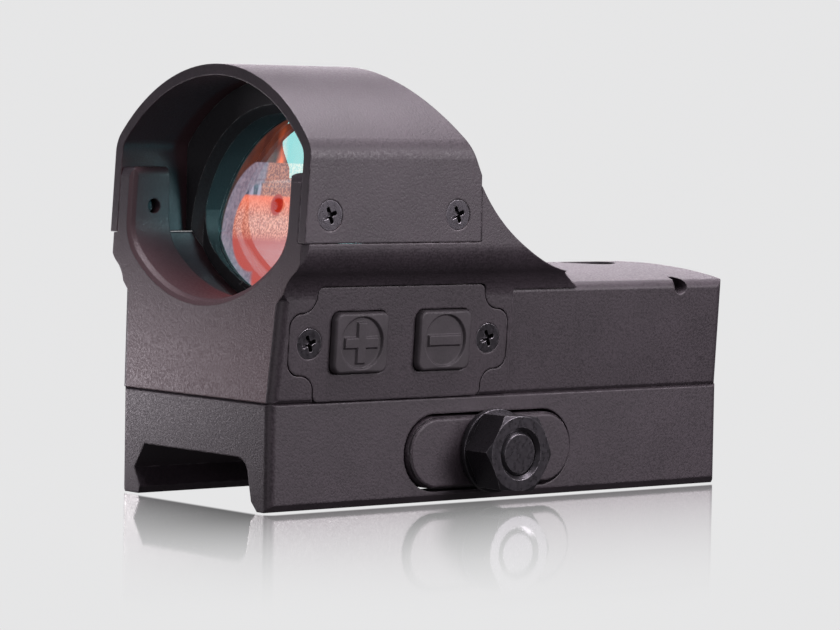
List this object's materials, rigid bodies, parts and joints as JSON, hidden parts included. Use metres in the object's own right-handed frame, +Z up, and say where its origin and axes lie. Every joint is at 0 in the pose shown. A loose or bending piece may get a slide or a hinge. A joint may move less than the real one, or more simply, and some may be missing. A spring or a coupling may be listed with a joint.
{
  "type": "red dot finder",
  "caption": "Reflex red dot finder with a hooded round lens, push-button side panel, slotted adjusters and a screw-clamped rail base.",
  "frame": {"origin": "on the rail seat of the base, on the sight's mid-plane, midway along the base", "axes": "+X across towards the control panel and the clamp nut, +Y along the line of sight towards the eye, +Z up; -Y looks at the target"},
  "size_m": [0.0458, 0.0798, 0.0583],
  "materials": {
    "anodised_black": "fine blasted, black anodised",
    "black_steel": "satin black oxide",
    "bare_steel": "turned",
    "brass": "machined",
    "coated_glass": "red-reflecting coating, sees through cyan",
    "clear_glass": "polished",
    "rubber_black": "matt",
    "board_green": "solder mask",
    "chip_black": "moulded",
    "emitter_red": "clear red resin",
    "cable_amber": "polyimide film"
  },
  "bodies": {
    "root": {"main_housing": "anodised_black", "hood": "anodised_black", "hood_screws": "black_steel", "lens_cell": "anodised_black", "lens_gasket": "rubber_black", "front_lens": "coated_glass", "rear_lens": "clear_glass", "lens_retainer": "anodised_black", "control_panel": "anodised_black", "panel_gasket": "rubber_black", "panel_screws": "black_steel", "keypad_membrane": "rubber_black", "dome_switches": "bare_steel", "circuit_board": "board_green", "controller_chip": "chip_black", "battery": "bare_steel", "battery_contact": "brass", "battery_seal": "rubber_black", "emitter_window": "clear_glass", "lock_screw": "black_steel", "led_cable": "cable_amber", "rail_base": "anodised_black", "base_screws": "black_steel", "dowel_pins": "bare_steel", "cross_bolt": "black_steel"},
    "plus_key": {"plus_button": "rubber_black"},
    "minus_key": {"minus_button": "rubber_black"},
    "elevation_thrust": {"elevation_pad": "bare_steel"},
    "elevation_adjuster": {"elevation_screw": "black_steel"},
    "windage_carriage": {"windage_block": "brass", "windage_spring": "bare_steel", "elevation_spring": "bare_steel"},
    "windage_adjuster": {"windage_screw": "black_steel"},
    "emitter_carriage": {"led_holder": "brass", "led_emitter": "emitter_red"},
    "jaw": {"clamp_jaw": "anodised_black", "clamp_washer": "black_steel"},
    "nut": {"clamp_nut": "black_steel"}
  },
  "joints": [
    {"name": "plus_press", "type": "slide", "parent": "root", "child": "plus_key", "axis": [-0.9979, 0, 0.0645], "range_m": [0, 0.0005]},
    {"name": "minus_press", "type": "slide", "parent": "root", "child": "minus_key", "axis": [-0.9979, 0, 0.0645], "range_m": [0, 0.0005]},
    {"name": "elevation_feed", "type": "slide", "parent": "root", "child": "elevation_thrust", "axis": [0, 0, 1], "range_m": [-0.0005, 0.0005]},
    {"name": "elevation_turn", "type": "hinge", "parent": "elevation_thrust", "child": "elevation_adjuster", "pos_m": [0, 0.0295, 0.021], "axis": [0, 0, 1], "range_deg": [-360, 360]},
    {"name": "windage_shift", "type": "slide", "parent": "root", "child": "windage_carriage", "axis": [1, 0, 0], "range_m": [-0.0005, 0.0005], "deforming": ["windage_spring"]},
    {"name": "windage_turn", "type": "hinge", "parent": "windage_carriage", "child": "windage_adjuster", "pos_m": [-0.0152, 0.0295, 0.0125], "axis": [1, 0, 0], "range_deg": [-360, 360]},
    {"name": "emitter_lift", "type": "slide", "parent": "windage_carriage", "child": "emitter_carriage", "axis": [0, 0, 1], "range_m": [-0.0005, 0.0005], "deforming": ["elevation_spring"]},
    {"name": "jaw_slide", "type": "slide", "parent": "root", "child": "jaw", "axis": [1, 0, 0], "range_m": [0, 0.002]},
    {"name": "nut_turn", "type": "hinge", "parent": "jaw", "child": "nut", "pos_m": [0.0188, -0.00285, -0.00015], "axis": [1, 0, 0], "range_deg": [0, 720]}
  ],
  "couplings": [
    {"joint": "elevation_turn", "follows": "elevation_feed", "rad_per_m": 12566},
    {"joint": "emitter_lift", "follows": "elevation_feed", "ratio": 1},
    {"joint": "windage_turn", "follows": "windage_shift", "rad_per_m": 12566},
    {"joint": "nut_turn", "follows": "jaw_slide", "rad_per_m": 6283.2}
  ]
}
